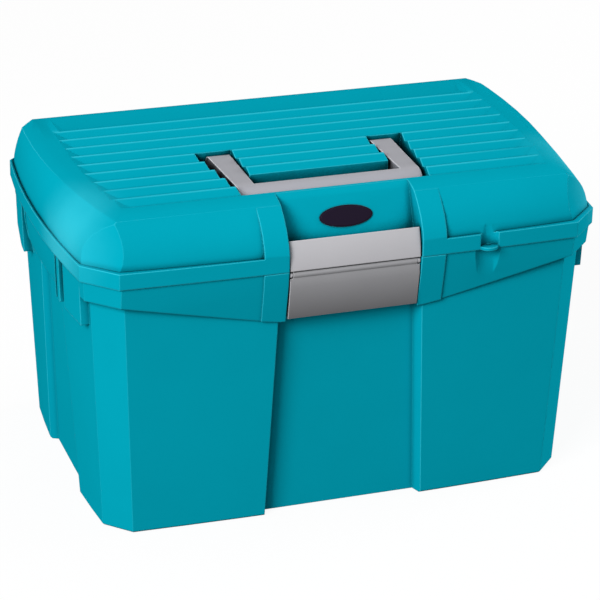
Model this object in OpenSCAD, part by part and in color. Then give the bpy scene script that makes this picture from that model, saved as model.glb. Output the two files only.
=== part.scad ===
// Grooming box: moulded tub, ribbed lid, lift-out tray, fold-down handle and front latch.
// Millimetres. Origin in the middle of the flat base, front towards -Y, up +Z.

/* [Box] */
// Width across the bowed ends of the lid rim
rim_w = 400; // [388:1:412]
// Depth of the lid rim between its corners, front to rear
rim_d = 260; // [254:1:270]
// Height of the tub up to the parting line
tub_h = 196.9; // [188:0.1:206]
// Height of the lid above the parting line
lid_h = 46.6; // [45:0.1:50]
// Thickness of the moulded walls
wall = 2.5; // [2.2:0.1:2.8]

/* [Lid top] */
// Distance from one rib crest to the next
rib_pitch = 17.95; // [17.5:0.05:18.4]
// Depth of the valleys between the crests
rib_drop = 3.3; // [2.4:0.1:3.6]
// Run of the rise up to each crest
rib_rise_run = 8.6; // [7:0.1:9.5]

/* [Handle] */
// Half width over the handle arms at the pivots
handle_half_w = 72; // [68:0.5:75]
// Radius of the pivot stubs
stub_r = 3; // [2.5:0.1:3.4]
// Running clearance of the stubs, on the radius
stub_fit = 0.05; // [0.03:0.01:0.08]
// Height of the handle section
handle_t = 11; // [10:0.5:12]

/* [Latch] */
// Width of the latch plate and flap
latch_w = 97; // [90:0.2:103]
// Thickness of the latch sheet
latch_t = 2.6; // [2.2:0.1:2.8]
// Gap between the latch and the recess on each side
latch_side_gap = 1.1; // [0.5:0.1:1.4]
// Radius of the latch pin
latch_pin_r = 1.2; // [1:0.05:1.3]

/* [Hinge] */
// Radius of the hinge knuckles
knuckle_r = 4.2; // [4:0.05:4.2]
// Radius of the hinge pins
hinge_pin_r = 2; // [1.6:0.1:2.2]
// Half length of the lid knuckle
knuckle_half = 7.7; // [7:0.1:9]
// Distance of each hinge from the middle
hinge_x = 110; // [100:1:120]

/* [Tray] */
// Depth of the tray below its flange
tray_depth = 38; // [30:0.5:44]
// Thickness of the tray walls
tray_wall = 2; // [1.6:0.1:2.4]

/* [Fits] */
// Gap at the parting line between tub and lid
part_gap = 0.4; // [0.3:0.05:0.6]
// Gap under a piece that rests on another
seat_gap = 0.1; // [0.05:0.01:0.2]
// Overlap on the radius of a pressed pin
press = 0.02; // [0.01:0.005:0.03]
// End gap between neighbouring knuckles
end_gap = 0.3; // [0.2:0.05:0.5]

/* [Hidden] */
$fn = 96;
far = 300;

// Rim outline, at the lid band
end_bow = 6.8;
front_bow = 3.2;
a = rim_w / 2 - end_bow;
b = rim_d / 2;

// Heights
zp = tub_h;
zb = zp + part_gap;
zl = zp + 12.2;
zt = zp + lid_h;
zc = zt - 3.5;
z_shoulder = zp - 13.9;
z_wing = zp - 39.9;
z_ring = zp - 14.9;
z_end_collar = zp - 28.9;

// Ribs, counted from the rear; the last crest is the front lip
ribs = 10;
lip_y = -b + 34.2;
function crest_y(i) = lip_y + rib_pitch * (ribs - 1 - i);

// Handle channel and pivot
channel_front = lip_y + 1.8;
channel_rear = channel_front + 91;
block_front = channel_front + 43;
block_half = handle_half_w - 19.8;
pivot_y = channel_rear - 6;
pivot_z = zt - 8.5;
channel_floor = zt - 19.5;

// Latch and centre recess
latch_half = latch_w / 2;
recess_half = latch_half + latch_side_gap;
flap_y = -b + 0.7;
flap_z = zp - 2.7;
flap_r = 2.7;
plate_r = 57;
plate_cy = -b + 55;
plate_cz = zp - 1.9;
plate_top = zp + 21.3;
web_t = 3.5;
ear_t = 1.8;
ear_r = 2.3;
barrel_half = latch_half - ear_t - end_gap;
peg_x = latch_half - 1.75;
peg_z = zp + 11;
peg_r = 1.4;
recess_floor = -b + 15.6;

// Hinge axis
hinge_y = b + 4.5;
hinge_z = zp;

// Padlock eye, on the right of the lid front
eye_x = 101.2;
eye_r = 7.7;
eye_depth = 4.7;
eye_hole_r = 1.8;
eye_top = zp + 2.8;

// Basic helpers
function mix(p, q, t) = p + (q - p) * t;

module along_x(x0, x1) translate([x0, 0, 0]) rotate([90, 0, 90]) linear_extrude(x1 - x0) children();
module along_y(y0, y1) translate([0, y1, 0]) rotate([90, 0, 0]) linear_extrude(y1 - y0) children();
module rod_x(r, x0, x1, y, z) translate([x0, y, z]) rotate([0, 90, 0]) cylinder(r = r, h = x1 - x0);
module rod_y(r, y0, y1, x, z) translate([x, y0, z]) rotate([-90, 0, 0]) cylinder(r = r, h = y1 - y0);
module block(p, q) translate(p) cube(q - p);

// Solid through a stack of rings that all have the same number of points
module loft(rings) {
  n = len(rings[0]);
  m = len(rings);
  polyhedron(
    points = [for (r = rings) each r],
    faces = concat(
      [[for (i = [0:n - 1]) i]],
      [for (k = [0:m - 2], i = [0:n - 1])
        let (j = (i + 1) % n) [k * n + i, (k + 1) * n + i, (k + 1) * n + j]],
      [for (k = [0:m - 2], i = [0:n - 1])
        let (j = (i + 1) % n) [k * n + i, (k + 1) * n + j, k * n + j]],
      [[for (i = [n - 1:-1:0]) (m - 1) * n + i]]));
}

// Eight-sided outline with bowed front and ends and a straight rear
side_parts = 8;
function along(i) = 2 * i / side_parts - 1;
function outline(oa, ob, ca, cb, eb, fb, z) = concat(
  [for (i = [0:side_parts]) let (t = along(i)) [t * (oa - ca), -ob - fb * (1 - t * t), z]],
  [for (i = [0:side_parts]) let (t = along(i)) [oa + eb * (1 - t * t), t * (ob - cb), z]],
  [[oa - ca, ob, z], [-(oa - ca), ob, z]],
  [for (i = [0:side_parts]) let (t = along(i)) [-oa - eb * (1 - t * t), -t * (ob - cb), z]]);

// Rim outline moved in by d
function rim(d, z) =
  outline(a - d, b - d, 22.4 - 0.586 * d, 22.9 - 0.586 * d, end_bow, front_bow, z);

// Tub body outline at height h, moved in by d and drawn at height z
function body(h, d, z) = let (u = h / zp)
  outline(mix(a - 16, a - 7.7, u) - d, mix(b - 13.5, b - 7.7, u) - d,
          mix(17.7, 19.5, u) - 0.586 * d, mix(18.1, 19.5, u) - 0.586 * d,
          mix(4.8, 5, u), mix(3.5, 3, u), z);

// Front recess of the tub, moved into the wall by d
function front_recess(z, u, d) = let (
  fy = mix(-b + 19.7, -b + 16.3, u) + d,
  fw = mix(recess_half + 8.4, recess_half + 1.4, u) + d,
  ow = fw + (fy + b + 15) * 0.33)
  [[-ow, -b - 15, z], [ow, -b - 15, z], [fw, fy, z], [-fw, fy, z]];

module front_recess_cut(d) {
  loft([front_recess(-1, 0, d), front_recess(z_wing + d, 1, d)]);
  block([-recess_half - d, -b - 15, z_wing - 1], [recess_half + d, recess_floor + d, zp + 12]);
}

// Recess in the right end of the tub, moved into the wall by d
function end_recess(z, u, d) = let (
  fx = mix(a - 18.2, a - 9.6, u) - d,
  fw = mix(44, 27, u) + d,
  ow = fw + 14)
  [[fx, -fw, z], [fx + 30, -ow, z], [fx + 30, ow, z], [fx, fw, z]];

module end_recess_cut(d)
  loft([end_recess(-1, 0, d), end_recess(z_end_collar - 13, 0.93, d), end_recess(z_end_collar + d, 1, d)]);

// Collar outline: its ends move in by d, its front and rear by f
function collar(d, f, z) =
  outline(a - d, b - f, 22.4 - 0.586 * f, 22.9 - 0.586 * d, end_bow, front_bow, z);

// Front wing under the rim, as seen from the front
module wing_shape() polygon([
  [-(a - 24.5), z_ring], [-(recess_half + 18.4), zp - 37.4], [-(recess_half + 3.9), z_wing],
  [recess_half + 3.9, z_wing], [recess_half + 18.4, zp - 37.4], [a - 24.5, z_ring],
  [a - 24.5, zp], [-(a - 24.5), zp]]);

// Raised collar round the top of the tub: a ring that leans in, the wing, the latch bosses and the end pads
module tub_collar() {
  intersection() {
    loft([collar(8.1, 9, z_wing - 5), collar(3.3, 3, z_shoulder), collar(2.5, 1.4, zp)]);
    union() {
      block([-far, -far, z_ring], [far, far, zp]);
      along_y(-b - 20, -b + 45) wing_shape();
      block([-far, -72, z_end_collar], [far, 72, zp]);
    }
  }
  intersection() {
    along_y(-b - 20, -b + 45) wing_shape();
    for (s = [-1, 1])
      along_x(s * (recess_half + 9) - 9.2, s * (recess_half + 9) + 9.2) polygon([
        [-b - 2.6, zp], [-b - 0.8, z_shoulder], [-b + 4.4, z_wing - 1], [-b + 20, z_wing - 1], [-b + 20, zp]]);
  }
  intersection() {
    loft([rim(3.8, zp - 48.9), rim(2.5, zp)]);
    along_x(-far, far) {
      polygon([[-98, zp], [-98, zp - 36.7], [-44.5, zp - 36.7], [-44.5, zp]]);
      polygon([[98, zp], [98, zp - 36.7], [76, zp - 45.9], [59, zp - 45.9], [59, zp]]);
    }
  }
}

module end_grooves()
  for (s = [-1, 1]) {
    along_y(s * 59.3 - 4.8, s * 59.3 + 4.8) polygon([
      [a - 1.6, zp + 1], [a - 1.6, z_shoulder - 2], [a - 6.5, z_wing - 8], [far, z_wing - 8], [far, zp + 1]]);
    block([a - 0.2, s * 47.3 - 2, z_wing], [far, s * 47.3 + 2, zp + 1]);
  }

// Inside of the collar; the ends are 3 thicker to carry the grooves
function collar_inside(d, z) =
  outline(a - d - 3, b - d, 19.4 - 0.586 * d, 19.9 - 0.586 * d, end_bow, front_bow, z);

// Shallow upright flute under the padlock eye, moved into the wall by d
module flute(d) translate([eye_x, -b - 11.2, z_wing - 2]) cylinder(r = 14.7 + d, h = 60);

module tub_hollow() difference() {
  union() {
    loft([body(2.8, wall, wall + 0.3), body(z_shoulder, wall, z_shoulder + 1)]);
    loft([collar_inside(2.7 + wall, z_shoulder), collar_inside(2.7 + wall, zp + 20)]);
  }
  flute(wall);
  front_recess_cut(wall);
  end_recess_cut(wall);
  mirror([1, 0, 0]) end_recess_cut(wall);
}

module tongue() difference() {
  loft([rim(3.2, zp - 1), rim(3.2, zp + 5.1)]);
  loft([rim(2.7 + wall, zp - 2), rim(2.7 + wall, zp + 6)]);
  block([-60, -b - 20, zp - 3], [60, -b + 30, zp + 8]);
  block([eye_x - 16, -b - 20, zp - 3], [eye_x + 16, -b + 30, zp + 8]);
}

module tub_knuckles()
  for (s = [-1, 1], e = [-1, 1]) {
    x0 = s * hinge_x + e * (knuckle_half + end_gap + 7) - 7;
    rod_x(knuckle_r, x0, x0 + 14, hinge_y, hinge_z);
    block([x0, b - 4, hinge_z - knuckle_r], [x0 + 14, hinge_y, hinge_z]);
  }

module tub() color([0.01, 0.56, 0.64]) difference() {
  union() {
    difference() {
      union() {
        loft([body(0, 1.5, 0), body(1.5, 0, 1.5), body(zp, 0, zp)]);
        tub_collar();
      }
      tub_hollow();
      front_recess_cut(0);
      end_recess_cut(0);
      mirror([1, 0, 0]) end_recess_cut(0);
      end_grooves();
      mirror([1, 0, 0]) end_grooves();
      flute(0);
    }
    tongue();
    tub_knuckles();
    block([-16, flap_y + 4.7, zp - 26.9], [16, recess_floor + 1, zp - 18.9]);
  }
  for (s = [-1, 1])
    rod_x(hinge_pin_r - press, s * hinge_x - 40, s * hinge_x + 40, hinge_y, hinge_z);
}

// Domed part of the lid: bowed rings that lean in from the ledge to the crease
function lean(z) = let (t = max(0, (z - zl) / (zc - zl))) pow(t, 1.9);
function dome_front(x, e, d) = -b - 0.5 + 19.5 * e + d + 6.7 * (1 - e) * pow(x / 180, 2);
function dome_rear(e, d) = b - 4 - 20 * e - 0.6 * d;
function dome_end(y, e, d) = a + 4.2 - 9 * e - d - (0.00063 + 0.00022 * e) * pow(y - 45 * e, 2);
function dome_ring(z, e, d) = let (
  y0 = dome_front(180, e, d),
  x1 = dome_end(y0, e, d),
  y1 = dome_front(x1, e, d),
  y2 = dome_rear(e, d),
  n = side_parts)
  concat(
    [for (i = [0:n]) let (x = x1 * along(i)) [x, dome_front(x, e, d), z]],
    [for (i = [1:n]) let (y = mix(y1, y2, i / n)) [dome_end(y, e, d), y, z]],
    [for (i = [n:-1:1]) let (y = mix(y1, y2, i / n)) [-dome_end(y, e, d), y, z]]);

// Drafted corner planes of the dome, moved in by d; the rear ones cut less than the front ones
function corner_ring(z, d) = let (
  s = a + b - 30 - 0.41 * (z - zl) - 1.41 * d, r = s + 4 - 0.2 * (z - zl), p = b + 30, q = a + 40)
  [[-(s - p), -p, z], [s - p, -p, z], [q, -(s - q), z], [q, r - q, z],
   [r - p, p, z], [-(r - p), p, z], [-q, r - q, z], [-q, -(s - q), z]];

dome_steps = 6;
function dome_z(k) = mix(zl, zc, k / dome_steps);

module dome() intersection() {
  loft(concat(
    [dome_ring(zl - 4, 0, 0)],
    [for (k = [0:dome_steps]) dome_ring(dome_z(k), lean(dome_z(k)), 0)],
    [dome_ring(zc + 1.6, 1, 5), dome_ring(zc + 2.9, 1, 11), dome_ring(zt, 1, 18)]));
  loft([corner_ring(zl - 10, 0), corner_ring(zt + 5, 0)]);
}

// Narrow groove in the ledge, along the foot of the dome
module ledge_groove() intersection() {
  loft([dome_ring(zl - 0.9, 0, -1.3), dome_ring(zl + 1, 0, -1.3)]);
  loft([corner_ring(zl - 10, -1.3), corner_ring(zt + 5, -1.3)]);
}

module dome_hollow() intersection() {
  loft(concat(
    [dome_ring(zb - 1, 0, wall)],
    [for (k = [0:dome_steps - 1]) dome_ring(dome_z(k), lean(dome_z(k)), wall)],
    [dome_ring(zt - rib_drop - wall, 1, wall + 4.5)]));
  loft([corner_ring(zb - 10, wall), corner_ring(zt + 5, wall)]);
}

// Centre panel behind the latch: steep behind the plate, leaning back above it, rounded over at the top
panel_knee = 15;
panel_slope = 0.425;
function panel_y(z) = -b + 14.5 + 5 / 43 * min(z - zp, panel_knee) + panel_slope * max(z - zp - panel_knee, 0);

module panel_solid(d)
  along_x(-recess_half - d, recess_half + d) polygon([
    [-b - 20, zp - 6], [panel_y(zp - 6) + d, zp - 6], [panel_y(zp + panel_knee) + d, zp + panel_knee],
    [panel_y(zt - 5.1) + d, zt - 5.1], [-b + 30 + d, zt - 2.2], [-b + 32.5 + d, zt - 0.6],
    [-b + 32.5 + d, zt + 1], [-b - 20, zt + 1]]);

// Channel that the handle folds into, widened by d
function channel_plan(d) = let (f = block_half + 0.8, o = block_half + 29, w = handle_half_w - 2)
  [[-o - d, channel_rear + d], [-block_half + d, channel_rear + d], [-f + d, block_front + d],
   [f - d, block_front + d], [block_half - d, channel_rear + d], [o + d, channel_rear + d],
   [w + d, channel_front - d], [-w - d, channel_front - d]];

module channel(d)
  translate([0, 0, channel_floor - d]) linear_extrude(zt + 5 - channel_floor) polygon(channel_plan(d));

// One valley between two crests; its ends slope up to the border
// The crests stand a little below the border, so that neighbouring valleys cut into each other.
crest_low = 0.15;
module valley(rear_y, front_y, drop, half) {
  up = 1;
  run = rear_y - front_y - rib_rise_run;
  zv = zt - drop;
  ya = rear_y + (up + crest_low) * run / (drop - crest_low);
  yb = front_y - (up + crest_low) * rib_rise_run / (drop - crest_low);
  he = half + 2.73 * (drop + up);
  polyhedron(
    points = [[-half, front_y + rib_rise_run, zv], [half, front_y + rib_rise_run, zv],
              [-he, yb, zt + up], [he, yb, zt + up], [-he, ya, zt + up], [he, ya, zt + up]],
    faces = [[0, 2, 3, 1], [0, 1, 5, 4], [2, 4, 5, 3], [0, 4, 2], [1, 3, 5]]);
}

valley_trim = [0, 0, 0, 0, 0, 1, 3, 5, 8];
module valleys() {
  half = a - 33.2;
  valley(crest_y(0) + 26, crest_y(0), 1.6, half);
  for (i = [0:ribs - 2]) valley(crest_y(i), crest_y(i + 1), rib_drop, half - valley_trim[i]);
}

// Bosses beside the latch: flush with the band below, fading into the dome above
module lid_bosses() intersection() {
  loft([rim(0.03, zb), rim(0.03, zc)]);
  for (s = [-1, 1])
    along_x(s * (recess_half + 9) - 9.2, s * (recess_half + 9) + 9.2) polygon([
      [-b - 5, zb], [-b - 5, zl - 3], [-b - 2.6, zl + 1.5], [-b - 1.2, zl + 6.9], [-b + 3.6, zl + 15.9],
      [-b + 10.6, zc - 7], [-b + 18.2, zc - 0.5], [-b + 25, zc - 0.5], [-b + 25, zb]]);
}

// Walls and bosses that stand inside the hollow of the lid
module lid_inside() {
  panel_solid(wall);
  channel(wall);
  translate([eye_x, -b - 2 + eye_depth - eye_r, zb - 1]) cylinder(r = eye_r + wall, h = 24);
  for (s = [-1, 1])
    rod_x(stub_r + 3, s * (block_half - 4.6) - 4.6, s * (block_half - 4.6) + 4.6, pivot_y, pivot_z);
}

module lid_knuckles()
  for (s = [-1, 1]) {
    x0 = s * hinge_x - knuckle_half;
    rod_x(knuckle_r, x0, x0 + 2 * knuckle_half, hinge_y, hinge_z);
    block([x0, b - 2, zb], [x0 + 2 * knuckle_half, hinge_y, hinge_z + knuckle_r]);
  }

badge_z = zp + 28;
module badge_place(d) translate([0, panel_y(badge_z), badge_z]) rotate([90 - atan(panel_slope), 0, 0])
  translate([0, 0, d]) children();

module oval(d) polygon([for (i = [0:47]) [(19.7 + d) * cos(i * 7.5), (7.6 + d) * sin(i * 7.5)]]);

module lid() color([0.01, 0.6, 0.69]) difference() {
  union() {
    difference() {
      union() {
        difference() {
          loft([rim(0, zb), rim(0, zl)]);
          ledge_groove();
        }
        dome();
        lid_bosses();
      }
      difference() {
        union() {
          loft([rim(wall, zb - 1), rim(wall, zl - wall)]);
          dome_hollow();
        }
        lid_inside();
      }
      translate([eye_x, -b - 2 + eye_depth - eye_r, eye_top]) cylinder(r = eye_r, h = 30);
    }
    lid_knuckles();
    intersection() {
      translate([eye_x, -b + 0.8, zb]) cylinder(r = 7.4, h = eye_top - zb);
      block([0, -far, zb], [far, -b + 4.5, zt]);
    }
  }
  panel_solid(0);
  channel(0);
  valleys();
  for (s = [-1, 1]) {
    rod_x(stub_r + stub_fit, s * (block_half - 3) - 4, s * (block_half - 3) + 4, pivot_y, pivot_z);
    rod_x(hinge_pin_r + 0.05, s * hinge_x - 20, s * hinge_x + 20, hinge_y, hinge_z);
    rod_y(peg_r - press, panel_y(peg_z) - 5, panel_y(peg_z) + wall + 3, s * peg_x, peg_z);
  }
  translate([eye_x, -b + 0.5, zb - 1]) cylinder(r = eye_hole_r, h = 6);
  badge_place(-0.4) linear_extrude(6) oval(0.15);
}

// Lift-out tray: flange, bowl and dividers
tray_z = z_shoulder + seat_gap;
tray_floor = z_shoulder - tray_depth;
function tray_bowl(z, u, d) = let (
  oa = mix(a - 23, a - 17, u) - d, ob = mix(b - 24, b - 17, u) - d, c = 18 - 0.586 * d)
  [[-oa + c, -ob, z], [oa - c, -ob, z], [oa, -ob + c, z], [oa, ob - c, z],
   [oa - c, ob, z], [-oa + c, ob, z], [-oa, ob - c, z], [-oa, -ob + c, z]];
function tray_flange(z) = outline(a - 8.9, b - 9.3, 38, 40, 3.6, 0.3, z);
module tray_cut(d) block([-66 - d, -b - 20, tray_floor - 20], [66 + d, -b + 25 + d, zt]);

module tray() color([0.2, 0.2, 0.21]) difference() {
  union() {
    loft([tray_bowl(tray_floor, 0, 0), tray_bowl(tray_z + 1, 1, 0)]);
    loft([tray_flange(tray_z), tray_flange(tray_z + 2.6)]);
  }
  difference() {
    loft([tray_bowl(tray_floor + tray_wall, 0, tray_wall), tray_bowl(tray_z + 5, 1, tray_wall)]);
    tray_cut(tray_wall);
    block([-far, 8 - tray_wall / 2, 0], [far, 8 + tray_wall / 2, tray_z - 2]);
    for (s = [-1, 1])
      block([s * 62 - tray_wall / 2, -far, 0], [s * 62 + tray_wall / 2, 8, tray_z - 2]);
  }
  tray_cut(0);
}

// Handle: two arms and a front bar with a rounded front, turning on two stubs
bar_top = pivot_z + handle_t / 2;
bar_low = pivot_z - handle_t / 2;
bar_rear = channel_front + 25;
module handle() color([0.62, 0.62, 0.64]) {
  intersection() {
    translate([0, 0, channel_floor]) linear_extrude(60) difference() {
      polygon([[-handle_half_w, pivot_y + 20], [handle_half_w, pivot_y + 20],
               [handle_half_w - 3.6, channel_front], [-handle_half_w + 3.6, channel_front]]);
      polygon([[-block_half - 2.2, pivot_y + 30], [-block_half - 3.4, bar_rear],
               [block_half + 3.4, bar_rear], [block_half + 2.2, pivot_y + 30]]);
    }
    along_x(-far, far) {
      translate([pivot_y, pivot_z]) circle(r = handle_t / 2);
      translate([bar_rear - 2, bar_low]) square([pivot_y - bar_rear + 2, handle_t]);
      intersection() {
        translate([bar_rear - 2, bar_low]) circle(r = handle_t);
        translate([bar_rear - 2 - 2 * handle_t, bar_low]) square([2 * handle_t + 1, 2 * handle_t]);
      }
    }
  }
  for (s = [-1, 1])
    rod_x(stub_r, s * (block_half - 1) - 5.2, s * (block_half - 1) + 5.2, pivot_y, pivot_z);
}

// Fixed upper latch plate: a curved sheet with two side webs and the ears of the flap hinge
module latch_plate() color([0.68, 0.68, 0.7]) difference() {
  union() {
    intersection() {
      rod_x(plate_r, -latch_half, latch_half, plate_cy, plate_cz);
      along_x(-far, far) polygon([
        [-b - 10, zb], [panel_y(zb), zb], [panel_y(plate_top - 7.5), plate_top - 7.5],
        [-b + 3.2, plate_top], [-b - 10, plate_top]]);
      difference() {
        block([-far, -far, zb - 5], [far, 0, zt]);
        rod_x(plate_r - latch_t, -latch_half + web_t, latch_half - web_t, plate_cy, plate_cz);
      }
    }
    for (s = [-1, 1]) {
      ear = s * (latch_half - ear_t / 2);
      rod_x(ear_r, ear - ear_t / 2, ear + ear_t / 2, flap_y, flap_z);
      block([ear - ear_t / 2, flap_y - 0.6, flap_z], [ear + ear_t / 2, flap_y + ear_r, zb + 2]);
      rod_y(peg_r, panel_y(peg_z) - 4, panel_y(peg_z) + wall + 1, s * peg_x, peg_z);
    }
  }
  rod_x(latch_pin_r - press, -far, far, flap_y, flap_z);
}

// Latch flap: hangs on the pin, with side flanges and a hook rib on its back
module latch_flap() color([0.5, 0.5, 0.52]) {
  low = z_wing + 2.6;
  mid = zp - 12.9;
  top = flap_z - 2.65;
  difference() {
    union() {
      rod_x(flap_r, -barrel_half, barrel_half, flap_y, flap_z);
      along_x(-barrel_half, barrel_half) polygon([
        [flap_y - 1.6, top - 0.5], [flap_y - 1.6 + latch_t, top - 0.5],
        [flap_y - 1.6 + latch_t, flap_z], [flap_y - 1.6, flap_z]]);
      along_x(-latch_half, latch_half) polygon([
        [flap_y - 1.6, top], [flap_y - 1.9, mid], [flap_y + 1.7, low],
        [flap_y + 1.7 + latch_t, low], [flap_y - 1.9 + latch_t, mid], [flap_y - 1.6 + latch_t, top]]);
      for (s = [-1, 1])
        along_x(s * (latch_half - 1.3) - 1.3, s * (latch_half - 1.3) + 1.3) polygon([
          [flap_y - 1, mid + 4], [flap_y - 1, mid], [flap_y + 2.5, low + 1],
          [flap_y + 7, low + 1], [flap_y + 4.5, mid], [flap_y + 3, mid + 4]]);
      along_x(-18, 18) polygon([
        [flap_y + 1, zp - 30.9], [flap_y + 4.3, zp - 30.9], [flap_y + 4.3, zp - 27.9], [flap_y + 1, zp - 26.9]]);
    }
    rod_x(latch_pin_r + 0.05, -far, far, flap_y, flap_z);
  }
}

module latch_pin() color([0.6, 0.6, 0.6])
  rod_x(latch_pin_r, -latch_half + 0.4, latch_half - 0.4, flap_y, flap_z);

module badge() color([0.03, 0.03, 0.03]) badge_place(-0.4) {
  linear_extrude(1.3) oval(0);
  translate([0, 0, 1.3]) linear_extrude(0.3) oval(-0.9);
}

module hinge_pin(s) color([0.6, 0.6, 0.6])
  rod_x(hinge_pin_r, s * hinge_x - 21.6, s * hinge_x + 21.6, hinge_y, hinge_z);
module hinge_pin_left() hinge_pin(-1);
module hinge_pin_right() hinge_pin(1);

tub();
lid();
tray();
handle();
latch_plate();
latch_flap();
latch_pin();
badge();
hinge_pin_left();
hinge_pin_right();
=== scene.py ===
"""Horse grooming box: moulded tub, ribbed lid, grey handle and latch, on a white studio floor."""
import math

import bpy
from mathutils import Matrix, Vector

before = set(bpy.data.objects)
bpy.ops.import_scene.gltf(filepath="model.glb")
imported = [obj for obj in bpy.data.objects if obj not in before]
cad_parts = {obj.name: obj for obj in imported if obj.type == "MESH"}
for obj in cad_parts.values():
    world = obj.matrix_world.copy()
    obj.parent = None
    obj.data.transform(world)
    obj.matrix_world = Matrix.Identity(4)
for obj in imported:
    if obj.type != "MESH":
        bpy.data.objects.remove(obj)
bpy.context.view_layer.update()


# Tub: the deep teal box with its collar, wings and sunk panels, injection moulded in
# polypropylene. The tool left a fine even grain, and handling has dulled it in patches.

class Wire:
    """An output in a node tree. Arithmetic between wires adds Math nodes."""

    def __init__(self, tree, socket):
        self.tree = tree
        self.socket = socket

    def maths(self, operation, first, second):
        return add_node(self.tree, "ShaderNodeMath", {"operation": operation}, {0: first, 1: second})

    def __add__(self, other):
        return self.maths("ADD", self, other)

    def __radd__(self, other):
        return self.maths("ADD", other, self)

    def __sub__(self, other):
        return self.maths("SUBTRACT", self, other)

    def __rsub__(self, other):
        return self.maths("SUBTRACT", other, self)

    def __mul__(self, other):
        return self.maths("MULTIPLY", self, other)

    def __rmul__(self, other):
        return self.maths("MULTIPLY", other, self)

    def larger(self, other):
        return self.maths("MAXIMUM", self, other)


def add_node(tree, kind, settings, sockets, output=0):
    """Add one node: its settings first, then the values or wires of its sockets.
    It gives back the node's output, if the node has one."""
    made = tree.nodes.new(kind)
    for name, value in settings.items():
        setattr(made, name, value)
    for name, value in sockets.items():
        if isinstance(value, Wire):
            tree.links.new(value.socket, made.inputs[name])
        else:
            made.inputs[name].default_value = value
    if made.outputs:
        return Wire(tree, made.outputs[output])


def empty_tree(owner):
    """The cleared node tree of a material or a world."""
    owner.use_nodes = True
    owner.node_tree.nodes.clear()
    return owner.node_tree


def mottle(place, scale, detail):
    """Noise over a surface, from 0 to 1."""
    return add_node(place.tree, "ShaderNodeTexNoise", {}, {
        "Vector": place, "Scale": scale, "Detail": detail})


def ramp(value, low, high, at_low, at_high, curve="SMOOTHSTEP"):
    """A wire's range from low to high, turned into the range from at_low to at_high."""
    return add_node(value.tree, "ShaderNodeMapRange", {"interpolation_type": curve}, {
        "Value": value, "From Min": low, "From Max": high, "To Min": at_low, "To Max": at_high})


def open_sky(tree, reach, alone):
    """Share of the sky that is free within reach, past this piece alone or its neighbours too."""
    return add_node(tree, "ShaderNodeAmbientOcclusion", {"samples": 8, "only_local": alone}, {
        "Distance": reach}, "AO")


# Reaches of the painted shade in creases and in deeper hollows, in metres.
CREASE_SHADE_REACH = 0.007
HOLLOW_SHADE_REACH = 0.04
GRAIN_DEPTH = 0.0002


def moulded_plastic(name, colour, highlight_colour, roughness, gloss, edge_radius,
                    more_highlight=None, painted_shade=None, alone=True):
    """Moulded plastic with fine grain, slow colour drift and dulled patches. Its edges carry a
    painted highlight with a little coat gloss, and its creases and hollows painted shade. The
    edges are rounded to the mould's radius. The more_highlight and painted_shade arguments are
    functions of the place and the dulled patches: one gives more painted highlight, the other a
    share of the colour as painted shade. Alone means that only the piece's own walls count in
    the painted shade of its hollows, and not its neighbours."""
    material = bpy.data.materials.new(name)
    tree = empty_tree(material)
    place = add_node(tree, "ShaderNodeTexCoord", {}, {}, "Object")
    drift = mottle(place, scale=9.0, detail=3.0)
    patches = mottle(place, scale=38.0, detail=4.0)
    coarse = mottle(place, scale=420.0, detail=3.0)
    fine = mottle(place, scale=1500.0, detail=2.0)
    rounded = add_node(tree, "ShaderNodeBevel", {"samples": 8}, {"Radius": edge_radius})
    facing = add_node(tree, "ShaderNodeNewGeometry", {}, {}, "Normal")
    turned = add_node(tree, "ShaderNodeVectorMath", {"operation": "DOT_PRODUCT"}, {
        0: rounded, 1: facing}, "Value")
    # Painted shade: creases and hollows that ambient occlusion finds closed in are darkened.
    corner = 1 - open_sky(tree, CREASE_SHADE_REACH, alone)
    own_corner = corner if alone else 1 - open_sky(tree, CREASE_SHADE_REACH, True)
    crease_shade = ramp(corner, low=0.08, high=0.3, at_low=0.0, at_high=0.28)
    hollow_shade = ramp(open_sky(tree, HOLLOW_SHADE_REACH, alone), low=0.3, high=0.64, at_low=0.9, at_high=0.0)
    # Painted highlight: convex edges, where the rounded normal turns from the face's own, take a lighter
    # colour.
    edge_highlight = ramp((1 - turned) - own_corner * 0.5, low=0.03, high=0.12, at_low=0.0, at_high=0.8)
    # The colour's share: random tone and dulled patches, times the painted shade of creases and hollows.
    shade = (0.95 + drift * 0.06 + patches * 0.04) * (1 - crease_shade) * (1 - hollow_shade)
    if more_highlight:
        edge_highlight = edge_highlight.larger(more_highlight(place, patches))
    if painted_shade:
        shade = shade * painted_shade(place, patches)
    tint = add_node(tree, "ShaderNodeVectorMath", {"operation": "SCALE"}, {0: colour, "Scale": shade})
    # The painted highlight mixes the colour towards the lighter highlight colour.
    highlighted = add_node(tree, "ShaderNodeMix", {"data_type": "RGBA"}, {0: edge_highlight, 6: tint, 7: highlight_colour}, 2)
    relief = add_node(tree, "ShaderNodeBump", {}, {
        "Strength": 0.12, "Distance": GRAIN_DEPTH, "Height": fine * 0.6 + coarse * 0.4, "Normal": rounded})
    finish = add_node(tree, "ShaderNodeBsdfPrincipled", {}, {
        "Base Color": highlighted, "Roughness": roughness - 0.05 + patches * 0.1, "Normal": relief,
        "Specular IOR Level": gloss, "IOR": 1.49, "Coat Weight": edge_highlight * 0.15, "Coat Roughness": 0.3})
    add_node(tree, "ShaderNodeOutputMaterial", {}, {"Surface": finish})
    return material


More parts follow.
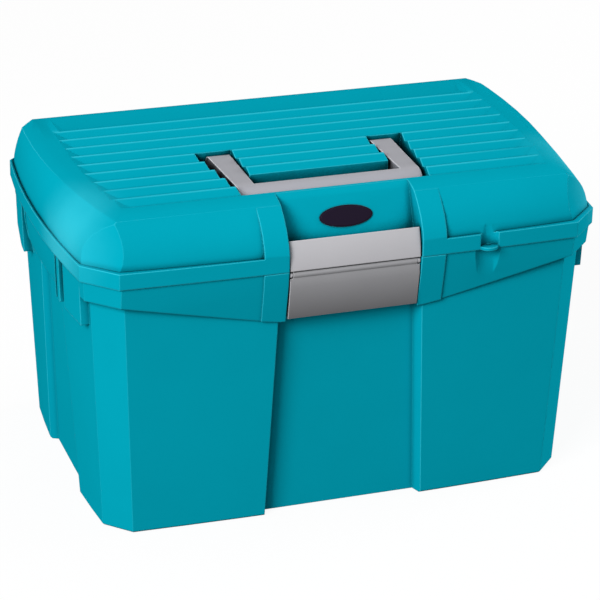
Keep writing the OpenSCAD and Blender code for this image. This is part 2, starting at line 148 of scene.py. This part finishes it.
def soften(node, sharp_angle):
    """Smooth a CAD node's gently bent faces, and keep edges sharper than the angle in degrees."""
    weld = node.modifiers.new("weld", "WELD")
    weld.merge_threshold = 0.00002
    flat = node.modifiers.new("flat faces", "DECIMATE")
    flat.decimate_type = "DISSOLVE"
    flat.angle_limit = math.radians(0.4)
    split = node.modifiers.new("edges", "EDGE_SPLIT")
    split.split_angle = math.radians(sharp_angle)
    split.use_edge_sharp = False
    weighted = node.modifiers.new("smooth", "WEIGHTED_NORMAL")
    weighted.keep_sharp = False
    weighted.weight = 50


def dress(node, material):
    """Give a CAD node one material all over."""
    node.data.materials.clear()
    node.data.materials.append(material)


TEAL = (0.0006, 0.33, 0.435)
# Lighter teal of the painted edge highlights.
TEAL_HIGHLIGHT = (0.035, 0.55, 0.68, 1.0)
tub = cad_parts["tub"]
dress(tub, moulded_plastic("teal moulded tub", TEAL, TEAL_HIGHLIGHT,
                           roughness=0.42, gloss=0.0, edge_radius=0.0012))
soften(tub, sharp_angle=24)


# Tray: a lift-out insert in dark plastic, injection moulded with dividers in one piece.
# It isn't fixed: its flange rests on the shoulder inside the tub.

TRAY_BLACK = (0.03, 0.03, 0.034)
# Lighter grey of the tray's painted edge highlights.
TRAY_HIGHLIGHT = (0.06, 0.06, 0.066, 1.0)
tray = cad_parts["tray"]
dress(tray, moulded_plastic("dark moulded tray", TRAY_BLACK, TRAY_HIGHLIGHT,
                            roughness=0.5, gloss=0.4, edge_radius=0.0008))
soften(tray, sharp_angle=24)


# Lid: a domed cover with a ribbed top and a channel for the handle, moulded in the same
# plastic as the tub and hinged at the rear. Painted highlights run along the crests of its
# ribs, a painted sheen lies on its ends near the front, and painted shade darkens its channel.

# Heights between which the painted crest highlights fade in, and the middle and reach of the painted sheen
# on the ends.
CREST_FOOT = 0.24265
CREST_TOP = 0.2433
SHEEN_MIDDLE = (0.196, -0.07, 0.213)
SHEEN_REACH = 0.07


def part_of(vector, axis):
    """One axis of a vector wire."""
    return add_node(vector.tree, "ShaderNodeSeparateXYZ", {}, {"Vector": vector}, axis)


def lid_more_highlight(place, patches):
    """Painted highlights on the long slopes near the rib crests, and a painted sheen near the front of
    both ends.
    """
    tree = place.tree
    facing = add_node(tree, "ShaderNodeTexCoord", {}, {}, "Normal")
    sideways = part_of(facing, "X")
    lengthwise = ramp(sideways * sideways, low=0.004, high=0.04, at_low=1.0, at_high=0.0, curve="LINEAR")
    sloped = ramp(part_of(facing, "Z"), low=0.95, high=0.975, at_low=0.65, at_high=0.0, curve="LINEAR")
    high_spot = ramp(part_of(place, "Z"), CREST_FOOT, CREST_TOP, at_low=0.0, at_high=1.0)
    unsigned = add_node(tree, "ShaderNodeVectorMath", {"operation": "ABSOLUTE"}, {0: place})
    either_side = add_node(tree, "ShaderNodeVectorMath", {"operation": "MULTIPLY"}, {
        0: unsigned, 1: (1.0, 0.0, 1.0)})
    mirrored = add_node(tree, "ShaderNodeVectorMath", {"operation": "MULTIPLY_ADD"}, {
        0: place, 1: (0.0, 1.0, 0.0), 2: either_side})
    away = add_node(tree, "ShaderNodeVectorMath", {"operation": "DISTANCE"}, {
        0: mirrored, 1: SHEEN_MIDDLE}, "Value")
    # Painted sheen near the front of both ends, mirrored from one end to the other.
    end_sheen = ramp(away + patches * 0.02, SHEEN_REACH * 0.2, SHEEN_REACH, at_low=0.6, at_high=0.0)
    return end_sheen.larger(high_spot * sloped * lengthwise)


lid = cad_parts["lid"]
# With alone=False the handle also counts, so painted shade darkens the lid's channel under it.
dress(lid, moulded_plastic("teal moulded lid", TEAL, TEAL_HIGHLIGHT,
                           roughness=0.38, gloss=0.0, edge_radius=0.0014,
                           more_highlight=lid_more_highlight, alone=False))
soften(lid, sharp_angle=20)


# Hinge pins: two lengths of drawn steel wire, pressed into the tub's rear knuckles.
# The lid's knuckles turn on them.

STEEL = (0.55, 0.55, 0.56, 1.0)


def drawn_steel(name):
    """Drawn steel wire with faint lengthwise drawing lines."""
    material = bpy.data.materials.new(name)
    tree = empty_tree(material)
    place = add_node(tree, "ShaderNodeTexCoord", {}, {}, "Object")
    lines = add_node(tree, "ShaderNodeMapping", {}, {"Vector": place, "Scale": (40.0, 4000.0, 4000.0)})
    drawn = mottle(lines, scale=1.0, detail=2.0)
    finish = add_node(tree, "ShaderNodeBsdfPrincipled", {}, {
        "Base Color": STEEL, "Metallic": 1.0, "Roughness": 0.25 + drawn * 0.2})
    add_node(tree, "ShaderNodeOutputMaterial", {}, {"Surface": finish})
    return material


steel = drawn_steel("drawn steel pin")
dress(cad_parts["hinge_pin_left"], steel)
dress(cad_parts["hinge_pin_right"], steel)


# Handle: a grey carrying handle, two arms and a rounded bar moulded in one piece, with
# stubs that turn in the lid. Painted shade darkens the arms, and the bar keeps its full colour.

HANDLE_GREY = (0.395, 0.395, 0.435)
# Light grey of the painted edge highlights on the handle and the plate.
GREY_HIGHLIGHT = (0.72, 0.72, 0.76, 1.0)


def painted_shade_along(axis, shaded_end, lit_end, share_left):
    """Painted shade that fades along an axis: at shaded_end a share of the colour is left, at lit_end all
    of it.
    """
    def colour_left(place, patches):
        return ramp(part_of(place, axis) + patches * 0.002, shaded_end, lit_end,
                    at_low=share_left, at_high=1.0, curve="LINEAR")
    return colour_left


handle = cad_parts["handle"]
# Painted shade: the arms keep 0.74 of their colour, and the bar in front keeps all of it.
handle_painted_shade = painted_shade_along("Y", shaded_end=-0.062, lit_end=-0.082, share_left=0.74)
dress(handle, moulded_plastic("grey handle plastic", HANDLE_GREY, GREY_HIGHLIGHT,
                              roughness=0.38, gloss=0.2, edge_radius=0.0014,
                              painted_shade=handle_painted_shade, alone=False))
soften(handle, sharp_angle=30)


# Latch: a curved grey plate pegged to the lid's panel, and a grey flap that hangs from the
# plate's ears on a pin of drawn steel wire. Both are moulded. The flap is painted a darker
# grey than the plate and darker still towards its bottom: painted shade.

PLATE_GREY = (0.48, 0.475, 0.5)
# The flap's grey is the plate's grey painted darker: painted shade.
FLAP_SHADED_GREY = (0.32, 0.32, 0.335)
# Light grey of the flap's painted edge highlights.
FLAP_HIGHLIGHT = (0.6, 0.6, 0.63, 1.0)
latch_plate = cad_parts["latch_plate"]
latch_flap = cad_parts["latch_flap"]
# Painted shade: the flap darkens towards its bottom and keeps 0.36 of its colour there.
flap_painted_shade = painted_shade_along("Z", shaded_end=0.157, lit_end=0.193, share_left=0.36)
dress(latch_plate, moulded_plastic("grey plate plastic", PLATE_GREY, GREY_HIGHLIGHT,
                                   roughness=0.38, gloss=0.2, edge_radius=0.001, alone=False))
dress(latch_flap, moulded_plastic("grey flap plastic", FLAP_SHADED_GREY, FLAP_HIGHLIGHT,
                                  roughness=0.38, gloss=0.2, edge_radius=0.001,
                                  painted_shade=flap_painted_shade, alone=False))
dress(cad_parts["latch_pin"], steel)
soften(latch_plate, sharp_angle=30)
soften(latch_flap, sharp_angle=30)


# Badge: a bare oval of glossy black plastic, moulded by itself and set in a shallow seat
# in the lid's panel.

OVAL_BLACK = (0.013, 0.008, 0.02)
# Lighter black of the badge's painted edge highlights.
OVAL_HIGHLIGHT = (0.03, 0.025, 0.04, 1.0)
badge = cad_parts["badge"]
dress(badge, moulded_plastic("gloss black oval", OVAL_BLACK, OVAL_HIGHLIGHT,
                             roughness=0.3, gloss=0.05, edge_radius=0.0004))
soften(badge, sharp_angle=30)


# Studio: a white paper floor that keeps the box's shadow, in a white room. One soft square
# lamp stands to the front left, and a weaker one low on the right.

WHITE = (1.0, 1.0, 1.0, 1.0)
FLOOR_HALF = 6.0
FLOOR_GLOW = 0.92
BOX_MIDDLE = Vector((0.0, 0.0, 0.12))


def background_rays(tree):
    """One for rays that show the background: the camera's, and those off gloss and through glass."""
    camera_ray = add_node(tree, "ShaderNodeLightPath", {}, {}, "Is Camera Ray")
    glossy_ray = add_node(tree, "ShaderNodeLightPath", {}, {}, "Is Glossy Ray")
    clear_ray = add_node(tree, "ShaderNodeLightPath", {}, {}, "Is Transmission Ray")
    return camera_ray.larger(glossy_ray.larger(clear_ray))


def soft_lamp(name, azimuth, elevation, distance, size, level):
    """A square lamp aimed at the box. Level is the share of its colour that a facing surface shows."""
    data = bpy.data.lights.new(name, "AREA")
    data.shape = "SQUARE"
    data.size = size
    data.energy = level * (math.pi * distance) ** 2
    lamp = bpy.data.objects.new(name, data)
    bpy.context.scene.collection.objects.link(lamp)
    turn = math.radians(azimuth)
    rise = math.radians(elevation)
    towards = Vector((math.sin(turn) * math.cos(rise), -math.cos(turn) * math.cos(rise), math.sin(rise)))
    lamp.location = BOX_MIDDLE + towards * distance
    lamp.rotation_euler = towards.to_track_quat("Z", "Y").to_euler()


floor_mesh = bpy.data.meshes.new("floor")
floor_corners = [(-FLOOR_HALF, -FLOOR_HALF, 0), (FLOOR_HALF, -FLOOR_HALF, 0),
                 (FLOOR_HALF, FLOOR_HALF, 0), (-FLOOR_HALF, FLOOR_HALF, 0)]
floor_mesh.from_pydata(floor_corners, [], [(0, 1, 2, 3)])
floor = bpy.data.objects.new("floor", floor_mesh)
bpy.context.scene.collection.objects.link(floor)
floor_white = bpy.data.materials.new("white floor")
paper = empty_tree(floor_white)
shaded_paper = add_node(paper, "ShaderNodeBsdfDiffuse", {}, {"Color": (0.15, 0.15, 0.15, 1.0)})
white_paper = add_node(paper, "ShaderNodeBsdfDiffuse", {}, {"Color": (0.95, 0.95, 0.95, 1.0)})
glow = add_node(paper, "ShaderNodeEmission", {}, {"Color": WHITE, "Strength": 1.0})
shown = add_node(paper, "ShaderNodeMixShader", {}, {0: FLOOR_GLOW, 1: white_paper, 2: glow})
floor_finish = add_node(paper, "ShaderNodeMixShader", {}, {
    0: background_rays(paper), 1: shaded_paper, 2: shown})
add_node(paper, "ShaderNodeOutputMaterial", {}, {"Surface": floor_finish})
floor_mesh.materials.append(floor_white)

world = bpy.data.worlds.new("studio")
bpy.context.scene.world = world
room = empty_tree(world)
fill = add_node(room, "ShaderNodeBackground", {}, {"Color": WHITE, "Strength": 0.4})
white_wall = add_node(room, "ShaderNodeBackground", {}, {"Color": WHITE, "Strength": 1.0})
room_finish = add_node(room, "ShaderNodeMixShader", {}, {
    0: background_rays(room), 1: fill, 2: white_wall})
add_node(room, "ShaderNodeOutputWorld", {}, {"Surface": room_finish})

soft_lamp("key", azimuth=-52.0, elevation=30.0, distance=4.0, size=1.8, level=1.05)
soft_lamp("right", azimuth=95.0, elevation=10.0, distance=3.0, size=1.5, level=0.9)


# Camera: a long lens at the photo's viewpoint, to the front left and above. It is rolled a
# little about its own axis, and shifted to frame the box as the photo does.

AZIMUTH = math.radians(-19.206)
ELEVATION = math.radians(23.806)
ROLL = math.radians(1.086)
AIM = Vector((0.0, 0.0, 0.11592))
STAND_OFF = 1.86764
back = Vector((math.sin(AZIMUTH) * math.cos(ELEVATION), -math.cos(AZIMUTH) * math.cos(ELEVATION),
               math.sin(ELEVATION)))
horizontal = Vector((math.cos(AZIMUTH), math.sin(AZIMUTH), 0.0))
upright = back.cross(horizontal)
across = math.cos(ROLL) * horizontal + math.sin(ROLL) * upright
up = -math.sin(ROLL) * horizontal + math.cos(ROLL) * upright
eye = AIM + back * STAND_OFF
camera_data = bpy.data.cameras.new("camera")
camera_data.lens = 147.3
camera_data.sensor_width = 36.0
camera_data.shift_x = 0.01042
camera_data.shift_y = -0.00391
camera = bpy.data.objects.new("camera", camera_data)
bpy.context.scene.collection.objects.link(camera)
camera.matrix_world = Matrix((
    (across.x, up.x, back.x, eye.x),
    (across.y, up.y, back.y, eye.y),
    (across.z, up.z, back.z, eye.z),
    (0.0, 0.0, 0.0, 1.0)))
bpy.context.scene.camera = camera
bpy.context.scene.view_settings.view_transform = "Standard"
